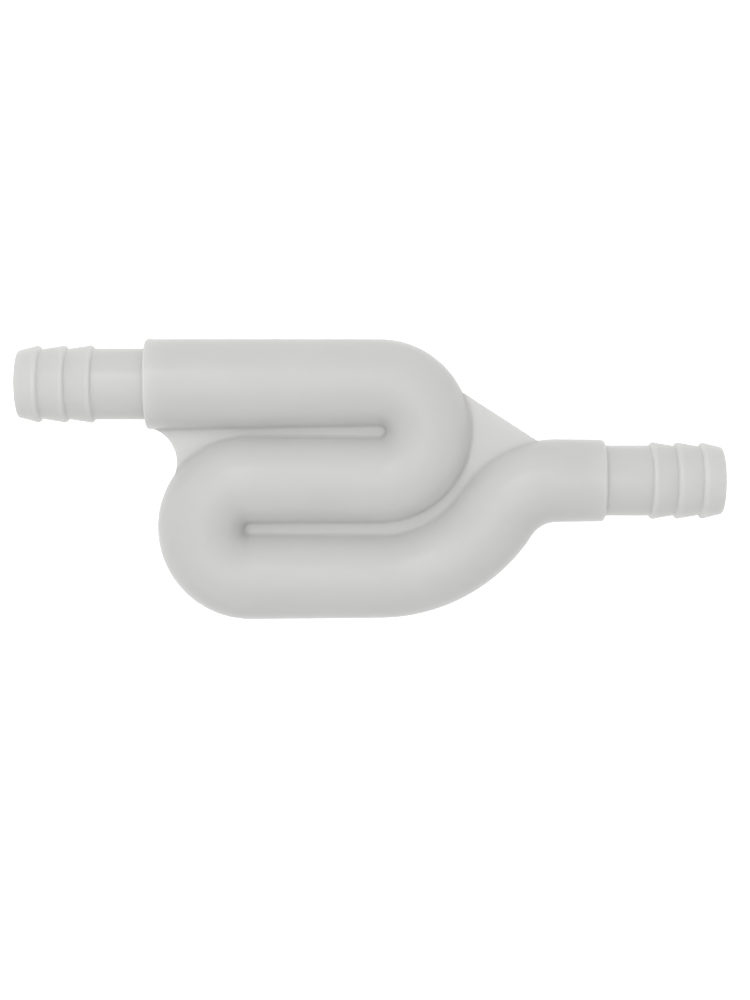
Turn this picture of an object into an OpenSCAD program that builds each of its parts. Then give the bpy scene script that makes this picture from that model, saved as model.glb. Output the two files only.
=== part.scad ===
// Condensate trap for a drain hose: one moulded plastic tube laid in a flat S,
// with a thin web between its runs and a barbed spigot at each end.
// Water enters at the left spigot, stands in the loop and leaves on the right.
// The trap lies flat: +X runs from inlet to outlet, +Y is up in use.

/* [Loop] */
// Outer diameter of the tube round the first bend
first_d = 24; // [21:0.1:26]
// Radius of the tube's centreline in the first bend
first_r = 13.85; // [13.5:0.05:17]
// Outer diameter of the tube round the second bend, the lowest point of the trap
second_d = 24.5; // [21:0.1:26]
// Radius of the tube's centreline in the second bend
second_r = 14.1; // [13.5:0.05:17]
// Length of the middle run, between the centres of the two bends
middle_run = 36.7; // [25:0.1:60]
// Thickness of the tube's wall
wall = 2; // [1.4:0.1:2.8]

/* [Inlet] */
// Outer diameter of the inlet sleeve, where the top run starts
sleeve_d = 25.4; // [24.5:0.1:29]
// Length of the top run, from the inlet shoulder to the first bend
top_run = 65.4; // [55:0.1:90]
// Length of the inlet spigot, from its tip to the shoulder
inlet_length = 36.1; // [34:0.1:50]
// Distance from one inlet barb to the next
inlet_pitch = 7.45; // [6.5:0.05:8.5]
// Radius of the rounded crest of an inlet barb
inlet_crest_round = 1; // [0.8:0.1:2]
// Radius of the edge of the inlet shoulder
sleeve_round = 0.5; // [0.3:0.1:1.5]

/* [Rise and outlet] */
// Outer diameter of the tube in the wide bend that turns up from the bottom run
rise_d = 23.8; // [21:0.1:26]
// Radius of the centreline in that wide bend
rise_r = 39.6; // [34:0.1:45]
// Height of the outlet's axis above the axis of the bottom run
rise_height = 27.7; // [26:0.1:32]
// Outer diameter of the tube in the bend that levels out into the outlet
level_d = 23.6; // [21:0.1:26]
// Radius of the centreline in that bend
level_r = 20.2; // [17:0.1:22]
// Outer diameter of the outlet sleeve at its shoulder
outlet_d = 23.3; // [22.5:0.1:27]
// Length of the outlet sleeve, from its bend to the shoulder
outlet_run = 13.3; // [8:0.1:30]
// Length of the outlet spigot, from the shoulder to its tip
outlet_length = 33.4; // [32:0.1:50]
// Distance from one outlet barb to the next
outlet_pitch = 7.05; // [6.5:0.05:8.5]
// Radius of the rounded crest of an outlet barb
outlet_crest_round = 1.6; // [0.8:0.1:2]
// Radius of the edge of the outlet shoulder
outlet_round = 1; // [0.3:0.1:1.5]

/* [Spigots] */
// Outer diameter of the plain part of a spigot, the bore of the hose
stub_d = 20; // [19:0.1:21.5]
// Outer diameter over the crests of the barbs
crest_d = 21.9; // [21:0.1:23]
// Bore of both spigots
bore_d = 15.6; // [12:0.1:16.4]
// Number of barbs on each spigot
barbs = 3; // [1:1:3]
// Distance from the tip of a spigot to its first crest
first_crest = 5.4; // [5:0.1:7]
// How much smaller the tip is than the plain part, on the diameter
tip_taper = 0.7; // [0:0.1:1.2]
// Radius of the rounded edge at the tip
tip_round = 1.5; // [0.5:0.1:1.6]
// Length of the steep back of a barb
barb_back = 0.6; // [0.3:0.1:1]

/* [Web] */
// Thickness of the web between the runs
web_t = 2.4; // [1.6:0.1:4]
// Radius of the hollow edge of the web below the inlet
notch_r = 10.1; // [8:0.1:13]
// Height of the centre of that hollow edge above the middle run
notch_y = 5; // [3:0.5:7]
// Slope of the straight edge of the web, from the first bend to the outlet
edge_angle = 33; // [28:0.5:38]
// How far the straight edge cuts inside the outline of the first bend
edge_inset = 4; // [2:0.1:7]

/* [Hidden] */
$fn = 64;
plastic = [0.86, 0.86, 0.85];
// Share of a crest's height that is its rounded cap
cap_share = 0.45;
// Length of the cone inside each shoulder, where the spigot's bore widens
flare = 3.5;
// The wide end of that cone stops this far short of the tube's wall
ledge = 0.3;
// The hollow edge bites this far into the outline of the second bend
notch_bite = 0.3;
// Where two solids meet at a slant, the wider one is wider by this, all round
lip = 0.06;
// There the solids also overlap by this length
lap = 0.1;
// The corners of a barb lie this share of the way out to its round crest
corner_share = 0.96;

// The top side of the top run is level, so its axis climbs as its tube narrows
run_tilt = asin((sleeve_d - first_d) / 2 / top_run);
first_centre = [0, first_r];
second_centre = [-middle_run, -second_r];
top_end = first_centre + first_r * [-sin(run_tilt), cos(run_tilt)];
top_start = top_end - top_run * [cos(run_tilt), sin(run_tilt)];

// The rise: a wide bend and a bend the other way, tangent where they meet
bottom_y = -2 * second_r;
outlet_y = bottom_y + rise_height;
rise_angle = acos(1 - rise_height / (rise_r + level_r));
rise_centre = [0, bottom_y + rise_r];
level_centre = [(rise_r + level_r) * sin(rise_angle), outlet_y - level_r];
meeting = rise_centre + rise_r * [sin(rise_angle), -cos(rise_angle)];
shoulder_x = level_centre[0] + outlet_run;

// The outline's box, for the origin under the middle of the lying trap
left_x = top_start[0] - inlet_length;
right_x = shoulder_x + outlet_length;
top_y = top_start[1] + sleeve_d / 2 * cos(run_tilt);
low_y = bottom_y - second_d / 2;
rest_z = max(sleeve_d, first_d, second_d, rise_d) / 2;

// A straight tube or cone along the trap, between two stations of its length
module run(from_x, to_x, y, d1, d2) {
    translate([from_x, y, 0])
        rotate([0, 90, 0])
            cylinder(h = to_x - from_x, d1 = d1, d2 = d2);
}

// A round bend of the route, turning about its centre
module bend(centre, radius, d, from, to) {
    translate([centre[0], centre[1], 0])
        rotate([0, 0, from])
            rotate_extrude(angle = to - from)
                translate([radius, 0])
                    circle(d = d);
}

// A profile given as [radius, length] turned about an axis that lies along X
module turned() {
    rotate([0, 90, 0])
        rotate_extrude()
            children();
}

// The outer tube from the inlet shoulder to the first bend, its edge rounded
module inlet_sleeve() {
    r = sleeve_d / 2;
    translate([top_start[0], top_start[1], 0])
        rotate([0, 0, run_tilt])
            turned() {
                polygon([[0, 0], [r - sleeve_round, 0], [r - sleeve_round, sleeve_round],
                         [r, sleeve_round], [first_d / 2 + lip, top_run + lap],
                         [0, top_run + lap]]);
                rounded_edge(r, 0, sleeve_round, -1);
            }
}

// A quarter circle that rounds the edge at radius r and length z of a profile
module rounded_edge(r, z, round, side) {
    intersection() {
        translate([r - round, z - side * round])
            circle(r = round);
        translate([r - round, side > 0 ? z - round : z - round])
            square(2 * round);
    }
}

// The outlet tube, from its bend to the shoulder, its edge rounded
module outlet_sleeve() {
    r = outlet_d / 2;
    translate([level_centre[0], outlet_y, 0])
        turned() {
            polygon([[0, 0], [level_d / 2, 0], [r, outlet_run - outlet_round],
                     [r - outlet_round, outlet_run - outlet_round],
                     [r - outlet_round, outlet_run], [0, outlet_run]]);
            rounded_edge(r, outlet_run, outlet_round, 1);
        }
}

// A barbed spigot from its tip to a little inside the shoulder. Each barb has
// a long slope towards the tip, a rounded crest and a steep back.
module spigot(length, pitch, crest_round) {
    stub_r = stub_d / 2;
    tip_r = stub_r - tip_taper / 2;
    cap = cap_share * (crest_d - stub_d) / 2;
    chord_r = crest_d / 2 - cap;
    half = sqrt(crest_round * crest_round - (crest_round - cap) * (crest_round - cap));
    corner = corner_share * half;
    crests = [for (i = [0 : barbs - 1]) first_crest + i * pitch];
    turned() {
        polygon(concat(
            [[0, 0], [tip_r - tip_round, 0], [tip_r - tip_round, tip_round], [tip_r, tip_round]],
            [for (z = crests, point = [[chord_r, z - corner], [chord_r, z + corner],
                                       [stub_r, z + corner + barb_back]]) point],
            [[stub_r, length + wall], [0, length + wall]]));
        rounded_edge(tip_r, 0, tip_round, -1);
        for (z = crests)
            translate([crest_d / 2 - crest_round, z])
                circle(r = crest_round);
    }
}

module inlet_spigot() {
    translate([left_x, top_start[1], 0])
        spigot(inlet_length, inlet_pitch, inlet_crest_round);
}

module outlet_spigot() {
    translate([right_x, outlet_y, 0])
        mirror([1, 0, 0])
            spigot(outlet_length, outlet_pitch, outlet_crest_round);
}

// The route of the tube between the two sleeves. The shell takes the outer
// diameters, and the passage takes them less two walls. The two bends of the
// rise meet at a slant, so the second starts a lap early inside the first.
module route(less) {
    first = first_d - less;
    second = second_d - less;
    rise = rise_d - less;
    early = lap / level_r * 180 / PI;
    bend(first_centre, first_r, first, -90, 90 + run_tilt);
    run(-middle_run, 0, 0, second, first);
    bend(second_centre, second_r, second, 90, 270);
    run(-middle_run, 0, bottom_y, second, rise);
    bend(rise_centre, rise_r, rise, -90, rise_angle - 90);
    bend(level_centre, level_r, level_d - less, 90, 90 + rise_angle + early);
}

// The bore of a spigot from its tip to the shoulder, with the cone behind it
// that widens it to the tube
module spigot_bore(length, tube_bore) {
    wide_r = tube_bore / 2 - ledge;
    turned()
        polygon([[0, -1], [bore_d / 2, -1], [bore_d / 2, length],
                 [wide_r, length + flare], [0, length + flare]]);
}

// The way for the water, open from tip to tip
module passage() {
    sleeve_bore = sleeve_d - 2 * wall;
    outlet_bore = outlet_d - 2 * wall;
    top_length = top_run - flare + ledge;
    translate([left_x, top_start[1], 0])
        spigot_bore(inlet_length, sleeve_bore);
    translate([top_end[0], top_end[1], 0])
        rotate([0, 0, run_tilt])
            translate([-top_length, 0, 0])
                turned()
                    polygon([[0, 0], [sleeve_bore / 2, 0],
                             [first_d / 2 - wall + lip, top_length + lap],
                             [0, top_length + lap]]);
    route(2 * wall);
    run(level_centre[0], shoulder_x - flare + ledge, outlet_y, level_d - 2 * wall, outlet_bore);
    translate([right_x, outlet_y, 0])
        mirror([1, 0, 0])
            spigot_bore(outlet_length, outlet_bore);
}

// The thin web that joins the runs along the middle plane. Its corners lie
// inside the tubes, so only its hollow edge and its straight edge show.
module web() {
    left = top_start[0] + web_t;
    reach = second_r + second_d / 2 + notch_r - notch_bite;
    notch_x = -middle_run - sqrt(reach * reach - (notch_y + second_r) * (notch_y + second_r));
    edge_top = first_centre
        + (first_r + first_d / 2 - edge_inset) * [sin(edge_angle), cos(edge_angle)];
    edge_low_y = outlet_y + outlet_d / 4;
    edge_low = [edge_top[0] + (edge_top[1] - edge_low_y) / tan(edge_angle), edge_low_y];
    translate([0, 0, -web_t / 2])
        linear_extrude(web_t)
            difference() {
                polygon([[left, top_start[1]], [left, notch_y],
                         second_centre - [second_r, 0], second_centre - [0, second_r],
                         [0, bottom_y], meeting, [level_centre[0], outlet_y],
                         edge_low, edge_top, top_end]);
                translate([notch_x, notch_y])
                    circle(r = notch_r);
            }
}

module trap_body() {
    color(plastic)
        translate([-(left_x + right_x) / 2, -(top_y + low_y) / 2, rest_z])
            difference() {
                union() {
                    inlet_spigot();
                    inlet_sleeve();
                    route(0);
                    outlet_sleeve();
                    outlet_spigot();
                    web();
                }
                passage();
            }
}

trap_body();
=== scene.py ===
# A condensate trap: one pale plastic moulding, a tube laid in a flat S with a
# thin web between its runs and a barbed hose spigot at each end. It lies flat
# on a pale floor, inlet to the left and outlet to the right.
import math

import bmesh
import bpy
from mathutils import Matrix, Vector


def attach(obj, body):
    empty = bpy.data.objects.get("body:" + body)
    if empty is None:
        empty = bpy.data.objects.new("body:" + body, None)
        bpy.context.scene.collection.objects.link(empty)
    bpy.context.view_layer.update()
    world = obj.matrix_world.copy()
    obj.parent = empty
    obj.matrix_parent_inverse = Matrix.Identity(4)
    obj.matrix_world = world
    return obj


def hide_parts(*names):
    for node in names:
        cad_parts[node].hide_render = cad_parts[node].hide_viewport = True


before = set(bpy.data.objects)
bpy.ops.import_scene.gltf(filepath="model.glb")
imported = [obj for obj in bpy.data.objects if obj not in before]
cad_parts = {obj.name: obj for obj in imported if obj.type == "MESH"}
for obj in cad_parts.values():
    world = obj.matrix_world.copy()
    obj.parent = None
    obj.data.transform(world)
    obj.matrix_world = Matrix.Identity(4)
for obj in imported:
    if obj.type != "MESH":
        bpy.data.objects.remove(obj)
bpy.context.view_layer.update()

# The tube
# One tube from tip to tip: a barbed inlet spigot, a long sleeve that narrows a
# little to the first bend, the loop that holds the water, and the rise to the
# outlet. Sizes are in millimetres, from the centre of the loop's middle run.
first_radius, first_turn = 12.0, 13.85
second_radius, second_turn = 12.25, 14.1
middle_run = 36.7
wall = 2.0
sleeve_radius, top_run, sleeve_edge = 12.7, 65.4, 0.5
rise_radius, rise_turn, rise_height = 11.9, 39.6, 27.7
level_radius, level_turn = 11.8, 20.2
outlet_radius, outlet_run, outlet_edge = 11.65, 13.3, 1.0

tilt = math.asin((sleeve_radius - first_radius) / top_run)
first_pivot = Vector((0, first_turn, 0))
second_pivot = Vector((-middle_run, -second_turn, 0))
top_end = first_pivot + first_turn * Vector((-math.sin(tilt), math.cos(tilt), 0))
top_start = top_end - top_run * Vector((math.cos(tilt), math.sin(tilt), 0))
bottom_y = -2 * second_turn
outlet_y = bottom_y + rise_height
rise_angle = math.acos(1 - rise_height / (rise_turn + level_turn))
rise_pivot = Vector((0, bottom_y + rise_turn, 0))
level_pivot = Vector(((rise_turn + level_turn) * math.sin(rise_angle),
                      outlet_y - level_turn, 0))
outlet_end = Vector((level_pivot.x + outlet_run, outlet_y, 0))

# Each spigot: length to its shoulder, pitch of its barbs, radius of a crest
inlet_spigot = (36.1, 7.45, 1.6)
outlet_spigot = (33.4, 7.05, 1.6)
stub_radius, crest_radius, bore_radius = 10.0, 10.95, 7.8
tip_taper, tip_edge, first_crest, barb_back, barb_step = 0.35, 0.8, 5.4, 0.5, 0.075
inlet_tip = top_start - Vector((inlet_spigot[0], 0, 0))
outlet_tip = outlet_end + Vector((outlet_spigot[0], 0, 0))

# From the loop's own zero to the place of the lying trap, in metres
middle = Vector(((inlet_tip.x + outlet_tip.x) / 2,
                 (top_start.y + sleeve_radius * math.cos(tilt)
                  + bottom_y - second_radius) / 2, -sleeve_radius))
place = Matrix.Scale(0.001, 4) @ Matrix.Translation(-middle)


def draw_on(skin, rim, step, grow=1.0, about=None):
    """Pulls the rim of a skin on by a step, and opens or closes it about a point."""
    made = bmesh.ops.extrude_edge_only(skin, edges=rim)["geom"]
    points = [p for p in made if isinstance(p, bmesh.types.BMVert)]
    bmesh.ops.translate(skin, vec=step, verts=points)
    if about is not None:
        bmesh.ops.scale(skin, vec=(grow,) * 3, verts=points,
                        space=Matrix.Translation(-about))
    return [e for e in made if isinstance(e, bmesh.types.BMEdge) and e.is_boundary]


def turn(skin, rim, pivot, angle, steps):
    """Carries the rim round a bend about its pivot, anticlockwise as positive."""
    ends = {p for e in rim for p in e.verts}
    made = bmesh.ops.spin(skin, geom=rim + list(ends), cent=pivot, axis=(0, 0, 1),
                          angle=angle, steps=steps, use_duplicate=False)
    return [e for e in made["geom_last"] if isinstance(e, bmesh.types.BMEdge)]


def spigot_profile(length, pitch, crest_round):
    """Stations along a spigot from its tip, each a distance and a radius."""
    tip_radius = stub_radius - tip_taper
    rows = [(tip_edge * (1 - math.cos(a)), tip_radius - tip_edge * (1 - math.sin(a)))
            for a in [math.radians(d) for d in range(0, 91, 15)]]
    cap = 0.2 * (crest_radius - stub_radius)
    swing = math.acos(1 - cap / crest_round)
    for barb in range(3):
        crest = first_crest + barb * pitch
        less = (2 - barb) * barb_step
        for share in range(-4, 5):
            a = swing * share / 4
            rows.append((crest + crest_round * math.sin(a),
                         crest_radius - less - crest_round * (1 - math.cos(a))))
        rows.append((rows[-1][0] + barb_back, stub_radius - less))
    return rows + [(length, stub_radius)]


def along(skin, rim, rows, start, heading):
    """Draws a rim through the stations of a profile, and gives the last rim."""
    for (here, small), (there, large) in zip(rows, rows[1:]):
        at = start + heading * there
        rim = draw_on(skin, rim, heading * (there - here), large / small, at)
    return rim


def loop(skin, rim, less):
    """Takes the rim from the end of the top run to the start of the outlet run."""
    rim = turn(skin, rim, first_pivot, -math.pi - tilt, 48)
    rim = draw_on(skin, rim, Vector((-middle_run, 0, 0)),
                  (second_radius - less) / (first_radius - less), Vector((-middle_run, 0, 0)))
    rim = turn(skin, rim, second_pivot, math.pi, 48)
    rim = draw_on(skin, rim, Vector((middle_run, 0, 0)),
                  (rise_radius - less) / (second_radius - less), Vector((0, bottom_y, 0)))
    rim = turn(skin, rim, rise_pivot, rise_angle, 36)
    meeting = rise_pivot + rise_turn * Vector((math.sin(rise_angle), -math.cos(rise_angle), 0))
    points = list({p for e in rim for p in e.verts})
    grow = (level_radius - less) / (rise_radius - less)
    bmesh.ops.scale(skin, vec=(grow,) * 3, verts=points, space=Matrix.Translation(-meeting))
    return turn(skin, rim, level_pivot, -rise_angle, 24)


def first_rim(skin, radius, tip):
    """The round rim that a skin starts from, at the tip of the inlet."""
    bmesh.ops.create_circle(skin, radius=radius, segments=96,
                            matrix=Matrix.Translation(tip) @ Matrix.Rotation(math.pi / 2, 4, "Y"))
    return list(skin.edges)


def quarter(radius, edge, at, way):
    """Stations of a rounded shoulder edge: opening from a face, or closing on one."""
    turns = range(0, 91, 15) if way > 0 else range(90, -1, -15)
    return [(at + way * edge * (1 - math.cos(math.radians(d))),
             radius - edge * (1 - math.sin(math.radians(d)))) for d in turns]


along_x = Vector((1, 0, 0))
down_run = Vector((math.cos(tilt), math.sin(tilt), 0))

outside = bmesh.new()
inlet_rows = spigot_profile(*inlet_spigot)
rim = first_rim(outside, inlet_rows[0][1], inlet_tip)
bmesh.ops.contextual_create(outside, geom=rim)
rim = along(outside, rim, inlet_rows, inlet_tip, along_x)
# The sleeve leans with the top run, so the rim tips to match it at the shoulder
bmesh.ops.rotate(outside, cent=top_start, matrix=Matrix.Rotation(tilt, 3, "Z"),
                 verts=list({p for e in rim for p in e.verts}))
sleeve_rows = ([(0, stub_radius)] + quarter(sleeve_radius, sleeve_edge, 0, 1)
               + [(top_run, first_radius)])
rim = along(outside, rim, sleeve_rows, top_start, down_run)
rim = loop(outside, rim, 0)
outlet_rows = ([(0, level_radius)]
               + quarter(outlet_radius, outlet_edge, outlet_run, -1)
               + [(outlet_run, stub_radius)])
rim = along(outside, rim, outlet_rows, Vector((level_pivot.x, outlet_y, 0)), along_x)
spigot_rows = [(outlet_spigot[0] - at, r) for at, r in reversed(spigot_profile(*outlet_spigot))]
rim = along(outside, rim, spigot_rows, outlet_end, along_x)
bmesh.ops.contextual_create(outside, geom=rim)

# The bore, kept apart until the web is in: a plain bore in each spigot, a cone
# behind each shoulder, and the tube's inside between them
flare, ledge = 3.5, 0.3
inside = bmesh.new()
rim = first_rim(inside, bore_radius, inlet_tip - along_x)
bmesh.ops.contextual_create(inside, geom=rim)
sleeve_bore = sleeve_radius - wall
rim = along(inside, rim, [(-1, bore_radius), (inlet_spigot[0], bore_radius),
                          (inlet_spigot[0] + flare, sleeve_bore - ledge)], inlet_tip, along_x)
bmesh.ops.rotate(inside, cent=top_start, matrix=Matrix.Rotation(tilt, 3, "Z"),
                 verts=list({p for e in rim for p in e.verts}))
rim = along(inside, rim, [(flare, sleeve_bore - ledge), (flare, sleeve_bore),
                          (top_run, first_radius - wall)], top_start, down_run)
rim = loop(inside, rim, wall)
rim = along(inside, rim, [(0, level_radius - wall), (outlet_run - flare, outlet_radius - wall),
                          (outlet_run - flare, outlet_radius - wall - ledge),
                          (outlet_run, bore_radius),
                          (outlet_run + outlet_spigot[0] + 1, bore_radius)],
            Vector((level_pivot.x, outlet_y, 0)), along_x)
bmesh.ops.contextual_create(inside, geom=rim)

# The web
# A flat plate along the middle of the loop, moulded with the tube to hold its
# runs in place. It ends in a hollow edge under the inlet and a straight edge
# above the rise, and a small fillet joins it to the tube on both faces.
web_thick = 2.4
notch_radius, notch_y, notch_bite = 10.1, 5.0, 0.3
edge_slope, edge_inset = math.radians(33), 4.0

reach = second_turn + second_radius + notch_radius - notch_bite
notch = Vector((-middle_run - math.sqrt(reach ** 2 - (notch_y + second_turn) ** 2), notch_y, 0))
notch_start = math.acos((top_start.x + 1 - notch.x) / notch_radius)
notch_end = math.atan2(second_pivot.y - notch.y, second_pivot.x - notch.x)
edge_out = Vector((math.sin(edge_slope), math.cos(edge_slope), 0))
edge_top = first_pivot + (first_turn + first_radius - edge_inset) * edge_out
edge_low_y = outlet_y + outlet_radius / 2
edge_low = Vector((edge_top.x + (edge_top.y - edge_low_y) / math.tan(edge_slope), edge_low_y, 0))

outline = bmesh.new()
first_point = outline.verts.new(notch + notch_radius * Vector((math.cos(notch_start),
                                                               math.sin(notch_start), 0)))
hollow = bmesh.ops.spin(outline, geom=[first_point], cent=notch, axis=(0, 0, 1),
                        angle=notch_end - notch_start, steps=48, use_duplicate=False)
before = [p for p in hollow["geom_last"] if isinstance(p, bmesh.types.BMVert)][0]
for corner in [second_pivot + second_turn * (notch - second_pivot).normalized(),
               second_pivot - Vector((second_turn, 0, 0)),
               second_pivot - Vector((0, second_turn, 0)), Vector((0, bottom_y, 0)),
               rise_pivot + rise_turn * Vector((math.sin(rise_angle), -math.cos(rise_angle), 0)),
               Vector((level_pivot.x, outlet_y, 0)), edge_low, edge_top, top_end,
               Vector((top_start.x + 1, top_start.y, 0))]:
    after = outline.verts.new(corner)
    outline.edges.new((before, after))
    before = after
outline.edges.new((before, first_point))
bmesh.ops.contextual_create(outline, geom=list(outline.edges))


def thicken(outline, thick, edge):
    """A plate of the web's outline, about the middle plane, its rims rounded off."""
    plate = outline.copy()
    bmesh.ops.translate(plate, vec=(0, 0, -thick / 2), verts=plate.verts)
    raised = bmesh.ops.extrude_face_region(plate, geom=list(plate.faces))["geom"]
    bmesh.ops.translate(plate, vec=(0, 0, thick),
                        verts=[p for p in raised if isinstance(p, bmesh.types.BMVert)])
    bmesh.ops.recalc_face_normals(plate, faces=plate.faces)
    rims = [e for e in plate.edges if len({f.normal.z > 0.5 for f in e.link_faces}
                                          | {f.normal.z < -0.5 for f in e.link_faces}) > 1
            and abs(e.verts[0].co.z - e.verts[1].co.z) < 1e-6]
    bmesh.ops.bevel(plate, geom=rims, offset=edge, segments=4, profile=0.5,
                    affect="EDGES", material=-1, clamp_overlap=True)
    return plate


# The fillet: hollows of this radius, cut a hair deeper than they would touch
fillet, bite = 1.2, 0.03


def fillet_start(skin, at, outward, heading, radius):
    """The cross-section of the fillets beside a tube, from inside its wall."""
    up = web_thick / 2 + fillet
    out = math.sqrt((radius + fillet) ** 2 - up ** 2) - radius
    high = radius * up / (radius + fillet)
    centre = at + outward * out + Vector((0, 0, up))
    swing = math.acos((up - high) / (fillet + bite))
    foot = skin.verts.new(centre - Vector((0, 0, fillet + bite)))
    side = 1 if outward.cross(Vector((0, 0, 1))).dot(heading) > 0 else -1
    arc = bmesh.ops.spin(skin, geom=[foot], cent=centre, axis=heading, steps=6,
                         angle=-side * swing, use_duplicate=False)
    shoulder = [p for p in arc["geom_last"] if isinstance(p, bmesh.types.BMVert)][0]
    inner = skin.verts.new(at - outward * wall / 2 + Vector((0, 0, shoulder.co.z)))
    skin.edges.new((shoulder, inner))
    half = list(skin.verts) + list(skin.edges)
    other = bmesh.ops.mirror(skin, geom=half, axis="Z", merge_dist=-1)["geom"]
    twins = [p for p in other if isinstance(p, bmesh.types.BMVert)]
    skin.edges.new((foot, min(twins, key=lambda p: (p.co - foot.co * Vector((1, 1, -1))).length)))
    skin.edges.new((inner, min(twins, key=lambda p: (p.co - inner.co * Vector((1, 1, -1))).length)))
    rim = list(skin.edges)
    bmesh.ops.contextual_create(skin, geom=rim)
    return rim


# Beside the upper slot: along the sleeve, round the inside of the first bend,
# back on the middle run and on to the outside of the second bend
upper = bmesh.new()
under = Vector((math.sin(tilt), -math.cos(tilt), 0))
rim = fillet_start(upper, top_start + sleeve_radius * under, under, down_run, first_radius)
rim = draw_on(upper, rim, top_end + first_radius * under - top_start - sleeve_radius * under)
rim = turn(upper, rim, first_pivot, -math.pi - tilt, 48)
rim = draw_on(upper, rim, Vector((-middle_run, second_radius - first_radius, 0)))
rim = turn(upper, rim, second_pivot, math.radians(80), 24)
bmesh.ops.contextual_create(upper, geom=rim)

# Beside the lower slot: round the outside of the first bend, along the middle
# run, round the inside of the second bend and up beside the rise
lower = bmesh.new()
rim = fillet_start(lower, first_pivot + (first_turn + first_radius) * edge_out, edge_out,
                   Vector((edge_out.y, -edge_out.x, 0)), first_radius)
rim = turn(lower, rim, first_pivot, edge_slope - math.pi, 40)
rim = draw_on(lower, rim, Vector((-middle_run, first_radius - second_radius, 0)))
rim = turn(lower, rim, second_pivot, math.pi, 48)
rim = draw_on(lower, rim, Vector((middle_run, rise_radius - second_radius, 0)))
rim = turn(lower, rim, rise_pivot, rise_angle, 36)
inward = Vector((math.sin(rise_angle), -math.cos(rise_angle), 0))
bmesh.ops.translate(lower, vec=inward * (rise_radius - level_radius),
                    verts=list({p for e in rim for p in e.verts}))
rim = turn(lower, rim, level_pivot, -rise_angle, 24)
bmesh.ops.contextual_create(lower, geom=rim)

# One moulding
# Tube and web leave the mould as one piece, so they are joined here and the
# bore is taken out. It replaces the plain solid and keeps its place.
def solid(name, skin):
    """Closes a skin's normals, puts it in its place and gives it an object."""
    bmesh.ops.transform(skin, matrix=place, verts=skin.verts)
    bmesh.ops.recalc_face_normals(skin, faces=skin.faces)
    if skin.calc_volume(signed=True) < 0:
        bmesh.ops.reverse_faces(skin, faces=skin.faces)
    mesh = bpy.data.meshes.new(name)
    skin.to_mesh(mesh)
    skin.free()
    made = bpy.data.objects.new(name, mesh)
    bpy.context.scene.collection.objects.link(made)
    return made


trap = solid("trap_moulding", outside)
block = solid("block", thicken(outline, 2 * (web_thick + fillet), 0.1))


def join(piece, *steps):
    """Joins a piece with others or cuts it by them, and drops what it used."""
    for way, tool in steps:
        cut = piece.modifiers.new(way, "BOOLEAN")
        cut.operation, cut.object, cut.solver = way, tool, "EXACT"
    joined = bpy.data.meshes.new_from_object(
        piece.evaluated_get(bpy.context.evaluated_depsgraph_get()))
    piece.modifiers.clear()
    piece.data = joined
    return piece


upper = join(solid("upper_fillet", upper), ("INTERSECT", block))
lower = join(solid("lower_fillet", lower), ("INTERSECT", block))
plate = solid("web_plate", thicken(outline, web_thick, 0.25))
bore = solid("bore", inside)
join(trap, ("UNION", plate), ("UNION", upper), ("UNION", lower), ("DIFFERENCE", bore))
for tool in (block, upper, lower, plate, bore):
    bpy.data.objects.remove(tool)
moulded = trap.data
moulded.name = "trap_moulding"
print("faces", len(moulded.polygons), "verts", len(moulded.vertices))
moulded.polygons.foreach_set("use_smooth", [True] * len(moulded.polygons))
moulded.set_sharp_from_angle(angle=math.radians(30))
even = trap.modifiers.new("even_shading", "WEIGHTED_NORMAL")
even.keep_sharp = True
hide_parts("trap_body")
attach(trap, "root")


def tint(code):
    """A six-figure sRGB colour as the linear colour that a shader takes."""
    parts = [int(code[i:i + 2], 16) / 255 for i in (0, 2, 4)]
    return [c / 12.92 if c <= 0.04045 else ((c + 0.055) / 1.055) ** 2.4 for c in parts] + [1.0]


def node(tree, kind, settings=None, links=None):
    """Adds one node, with its settings and the sockets that feed it."""
    made = tree.nodes.new(kind)
    for key, value in (settings or {}).items():
        if isinstance(key, str) and hasattr(made, key):
            setattr(made, key, value)
        else:
            made.inputs[key].default_value = value
    for key, source in (links or {}).items():
        tree.links.new(source, made.inputs[key])
    return made


# Polypropylene in its natural colour, injection moulded: a milky off-white
# that lets a little light in, with the satin skin of a fine-ground mould
polypropylene = bpy.data.materials.new("natural_polypropylene")
polypropylene.use_nodes = True
tree = polypropylene.node_tree
tree.nodes.clear()
where = node(tree, "ShaderNodeTexCoord")
milk = node(tree, "ShaderNodeTexNoise", {"Scale": 60.0, "Detail": 2.0}, {"Vector": where.outputs["Object"]})
cloud = node(tree, "ShaderNodeMix", {"data_type": "RGBA", 6: tint("dcdcda"), 7: tint("d8d8d6")},
             {0: milk.outputs["Fac"]})
skin_grain = node(tree, "ShaderNodeTexNoise", {"Scale": 1400.0, "Detail": 3.0},
                  {"Vector": where.outputs["Object"]})
bump = node(tree, "ShaderNodeBump", {"Strength": 0.06, "Distance": 0.0001},
            {"Height": skin_grain.outputs["Fac"]})
body = node(tree, "ShaderNodeBsdfPrincipled",
            {"Roughness": 0.32, "IOR": 1.49, "Specular IOR Level": 0.35,
             "Subsurface Weight": 0.85,
             "Subsurface Radius": (1.0, 1.0, 1.0), "Subsurface Scale": 0.005},
            {"Base Color": cloud.outputs[2], "Normal": bump.outputs["Normal"]})
node(tree, "ShaderNodeOutputMaterial", None, {"Surface": body.outputs["BSDF"]})
trap.data.materials.clear()
trap.data.materials.append(polypropylene)

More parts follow.
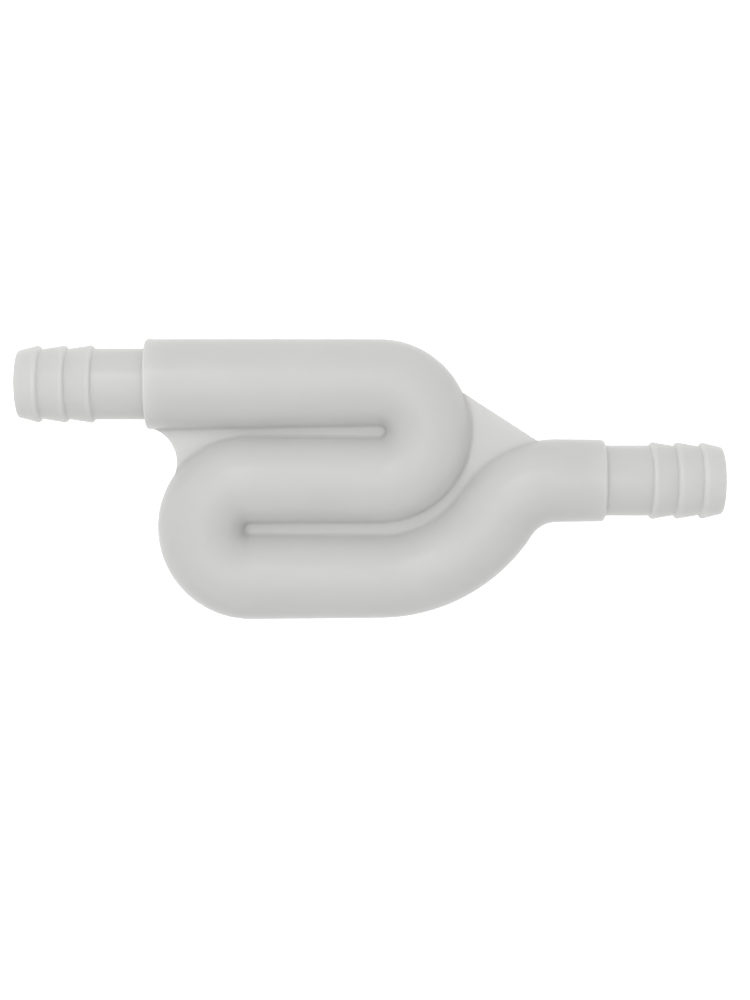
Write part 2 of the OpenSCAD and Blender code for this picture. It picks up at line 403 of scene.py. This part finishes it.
# Floor, light and camera
# A plain white studio sheet under the trap, which shows white to the camera
# but lights the part no more than pale paper does.
floor_skin = bmesh.new()
bmesh.ops.create_grid(floor_skin, x_segments=1, y_segments=1, size=3.0)
floor_mesh = bpy.data.meshes.new("studio_floor")
floor_skin.to_mesh(floor_mesh)
floor_skin.free()
floor = bpy.data.objects.new("studio_floor", floor_mesh)
bpy.context.scene.collection.objects.link(floor)
paper = bpy.data.materials.new("white_paper")
paper.use_nodes = True
tree = paper.node_tree
tree.nodes.clear()
matte = node(tree, "ShaderNodeBsdfDiffuse", {"Color": tint("e6e6e6")})
seen = node(tree, "ShaderNodeLightPath")
white = node(tree, "ShaderNodeEmission", {"Strength": 0.8})
both = node(tree, "ShaderNodeAddShader", None, {0: matte.outputs[0], 1: white.outputs[0]})
straight = node(tree, "ShaderNodeMath", {"operation": "MAXIMUM"},
                {0: seen.outputs["Is Camera Ray"], 1: seen.outputs["Is Glossy Ray"]})
either = node(tree, "ShaderNodeMath", {"operation": "MAXIMUM"},
              {0: straight.outputs[0], 1: seen.outputs["Is Transmission Ray"]})
mixed = node(tree, "ShaderNodeMixShader", None,
             {0: either.outputs[0], 1: matte.outputs[0], 2: both.outputs[0]})
node(tree, "ShaderNodeOutputMaterial", None, {"Surface": mixed.outputs[0]})
floor_mesh.materials.append(paper)

world = bpy.data.worlds.new("studio")
bpy.context.scene.world = world
world.use_nodes = True
tree = world.node_tree
tree.nodes.clear()
seen = node(tree, "ShaderNodeLightPath")
straight = node(tree, "ShaderNodeMath", {"operation": "MAXIMUM"},
                {0: seen.outputs["Is Camera Ray"], 1: seen.outputs["Is Glossy Ray"]})
either = node(tree, "ShaderNodeMath", {"operation": "MAXIMUM"},
              {0: straight.outputs[0], 1: seen.outputs["Is Transmission Ray"]})
soft = node(tree, "ShaderNodeBackground", {"Color": tint("ffffff"), "Strength": 0.61})
clear = node(tree, "ShaderNodeBackground", {"Color": tint("ffffff"), "Strength": 1.0})
mixed = node(tree, "ShaderNodeMixShader", None,
             {0: either.outputs[0], 1: soft.outputs[0], 2: clear.outputs[0]})
node(tree, "ShaderNodeOutputWorld", None, {"Surface": mixed.outputs[0]})


def softbox(name, at, aim, size, power):
    """A square studio light that looks at a point."""
    lamp = bpy.data.lights.new(name, "AREA")
    lamp.shape, lamp.size, lamp.energy = "SQUARE", size, power
    made = bpy.data.objects.new(name, lamp)
    made.location = at
    made.rotation_euler = (Vector(aim) - Vector(at)).to_track_quat("-Z", "Y").to_euler()
    bpy.context.scene.collection.objects.link(made)


softbox("overhead_light", (-0.1, 0.15, 1.2), (0, 0, 0.01), 1.0, 3.5)
softbox("streak_light", (-0.3, 0.7, 1.0), (0, 0, 0.01), 0.3, 2.0)

# The camera stands over the trap, tipped towards its top run
look_at = Vector((1.015, -5.714, 12.7)) / 1000
lean, distance = math.radians(9), 0.58
eye = bpy.data.cameras.new("camera")
eye.sensor_width = 36.0
eye.lens = 73.45
camera = bpy.data.objects.new("camera", eye)
camera.location = look_at + distance * Vector((0, math.sin(lean), math.cos(lean)))
camera.rotation_euler = (-lean, 0, 0)
bpy.context.scene.collection.objects.link(camera)
bpy.context.scene.camera = camera
bpy.context.scene.view_settings.view_transform = "Standard"
